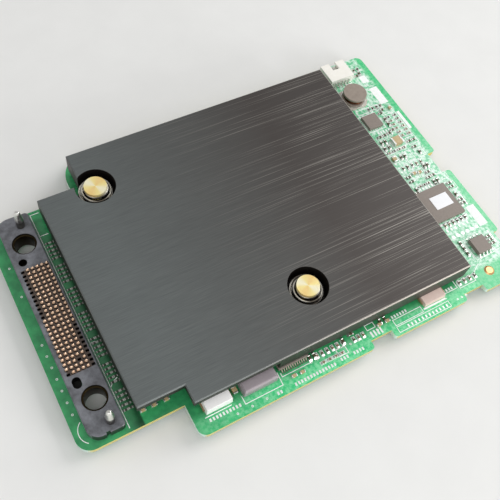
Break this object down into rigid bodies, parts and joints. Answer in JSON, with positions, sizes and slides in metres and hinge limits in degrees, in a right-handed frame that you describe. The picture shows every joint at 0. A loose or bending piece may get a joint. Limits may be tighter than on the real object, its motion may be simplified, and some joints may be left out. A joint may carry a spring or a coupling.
{
  "type": "raid controller card",
  "caption": "Storage controller card: circuit board, sprung black heatsink plate and a compression connector with guide pins.",
  "frame": {"origin": "centre of the board's outline, level with the push pins' tips that the card stands on", "axes": "+X along the board's long side away from the compression connector, +Y from the front edge towards the battery connector's edge, +Z from the board up to the heatsink plate"},
  "size_m": [0.1316, 0.0898, 0.0134],
  "materials": {
    "solder_mask": "green solder mask over glass laminate",
    "black_anodised": "black anodised, brushed",
    "turned_brass": "turned",
    "spring_steel": "bright wire",
    "turned_steel": "turned and polished",
    "connector_moulding": "moulded",
    "gold_contact": "gold plated",
    "moulded_epoxy": "moulded",
    "thermal_pad": "soft",
    "tan_ceramic": "fired ceramic",
    "ferrite": "sintered",
    "copper_winding": "enamelled copper wire",
    "grey_moulding": "moulded",
    "pale_moulding": "moulded",
    "tinned_metal": "tin plated",
    "paper_label": "satin paper",
    "gold_plate": "gold plated",
    "white_moulding": "moulded"
  },
  "bodies": {
    "card": {"board": "solder_mask", "heatsink_plate": "black_anodised", "spring_front": "spring_steel", "spring_rear": "spring_steel", "connector_housing": "connector_moulding", "connector_contacts": "gold_contact", "bushing_front": "turned_brass", "bushing_rear": "turned_brass", "guide_pin_front": "turned_steel", "guide_pin_rear": "turned_steel", "controller_chip": "moulded_epoxy", "controller_pad": "thermal_pad", "drum_core": "ferrite", "drum_winding": "copper_winding", "drum_base": "moulded_epoxy", "power_inductor": "grey_moulding", "block_capacitor_left": "pale_moulding", "block_capacitor_right": "pale_moulding", "block_terminals": "tinned_metal", "power_chip": "moulded_epoxy", "flash_chip": "moulded_epoxy", "flash_label": "paper_label", "soic_body": "moulded_epoxy", "soic_leads": "tinned_metal", "fine_chip_body": "moulded_epoxy", "fine_chip_leads": "tinned_metal", "ground_pad": "gold_plate", "battery_housing": "white_moulding", "battery_pins": "tinned_metal", "right_small_chips": "tan_ceramic", "front_small_chips": "tan_ceramic", "large_capacitors": "tan_ceramic", "large_terminals": "tinned_metal", "memory_chip_1": "moulded_epoxy", "memory_pad_1": "thermal_pad", "memory_chip_2": "moulded_epoxy", "memory_pad_2": "thermal_pad", "memory_chip_3": "moulded_epoxy", "memory_pad_3": "thermal_pad", "memory_chip_4": "moulded_epoxy", "memory_pad_4": "thermal_pad", "memory_chip_5": "moulded_epoxy", "memory_pad_5": "thermal_pad"},
    "front_pin": {"push_pin_front": "turned_brass"},
    "rear_pin": {"push_pin_rear": "turned_brass"}
  },
  "joints": [
    {"name": "front_pin_press", "type": "slide", "parent": "card", "child": "front_pin", "axis": [0, 0, -1], "range_m": [0, 0.0015], "stiffness_N_per_m": 1000, "springref_m": -0.004, "deforming": ["spring_front"]},
    {"name": "rear_pin_press", "type": "slide", "parent": "card", "child": "rear_pin", "axis": [0, 0, -1], "range_m": [0, 0.0015], "stiffness_N_per_m": 1000, "springref_m": -0.004, "deforming": ["spring_rear"]}
  ]
}
